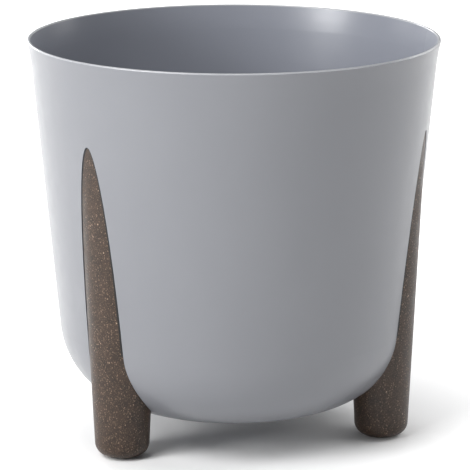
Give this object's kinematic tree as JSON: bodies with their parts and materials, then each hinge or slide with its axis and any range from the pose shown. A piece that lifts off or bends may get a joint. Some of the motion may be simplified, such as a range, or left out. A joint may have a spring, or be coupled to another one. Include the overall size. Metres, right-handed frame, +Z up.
{
  "type": "self watering planter",
  "caption": "Round tapered floor planter on three flush conical legs, with a lift-out watering insert, water gauge and overflow.",
  "frame": {"origin": "on the floor, on the pot's axis", "axes": "+Z up, +Y towards the rear leg, -Y towards the gap between the two front legs"},
  "size_m": [0.3894, 0.3892, 0.38],
  "materials": {
    "pot_shell": "satin",
    "leg_composite": "satin, speckled",
    "pad_rubber": "matte",
    "seal_rubber": "matte",
    "screw_steel": "satin",
    "insert_plastic": "satin",
    "tube_plastic": "satin",
    "clear_plastic": "clear",
    "float_foam": "matte",
    "flag_plastic": "gloss"
  },
  "bodies": {
    "pot": {"outer_pot": "pot_shell", "leg_rear": "leg_composite", "leg_front_left": "leg_composite", "leg_front_right": "leg_composite", "foot_pad_rear": "pad_rubber", "foot_pad_front_left": "pad_rubber", "foot_pad_front_right": "pad_rubber", "leg_screws": "screw_steel", "leg_screw_washers": "seal_rubber", "overflow_pipe": "insert_plastic", "overflow_seal": "seal_rubber"},
    "insert": {"separator_plate": "insert_plastic", "plate_supports": "insert_plastic", "float_cage": "insert_plastic", "wicking_cup_rear": "insert_plastic", "wicking_cup_left": "insert_plastic", "wicking_cup_right": "insert_plastic", "fill_tube": "tube_plastic", "fill_lid_pin": "screw_steel", "tube_clip": "insert_plastic", "indicator_tube": "clear_plastic", "indicator_cap": "clear_plastic"},
    "float": {"indicator_float": "float_foam", "indicator_rod": "float_foam", "indicator_flag": "flag_plastic"},
    "fill_lid": {"fill_lid": "tube_plastic"},
    "drain_seal": {"drain_cap_seal": "seal_rubber"},
    "drain_cap": {"drain_cap": "insert_plastic"}
  },
  "joints": [
    {"name": "insert_lift", "type": "slide", "parent": "pot", "child": "insert", "axis": [0, 0, 1], "range_m": [0, 0.36]},
    {"name": "float_rise", "type": "slide", "parent": "insert", "child": "float", "axis": [0, 0, 1], "range_m": [0, 0.026]},
    {"name": "fill_lid_hinge", "type": "hinge", "parent": "insert", "child": "fill_lid", "pos_m": [0, -0.1606, 0.3465], "axis": [1, 0, 0], "range_deg": [0, 105]},
    {"name": "drain_cap_drop", "type": "slide", "parent": "pot", "child": "drain_seal", "axis": [0, 0, -1], "range_m": [0, 0.009]},
    {"name": "drain_cap_turn", "type": "hinge", "parent": "drain_seal", "child": "drain_cap", "pos_m": [0, 0, 0.0225], "axis": [0, 0, -1], "range_deg": [0, 1080]}
  ],
  "couplings": [
    {"joint": "drain_cap_drop", "follows": "drain_cap_turn", "m_per_rad": 0.00047746}
  ]
}
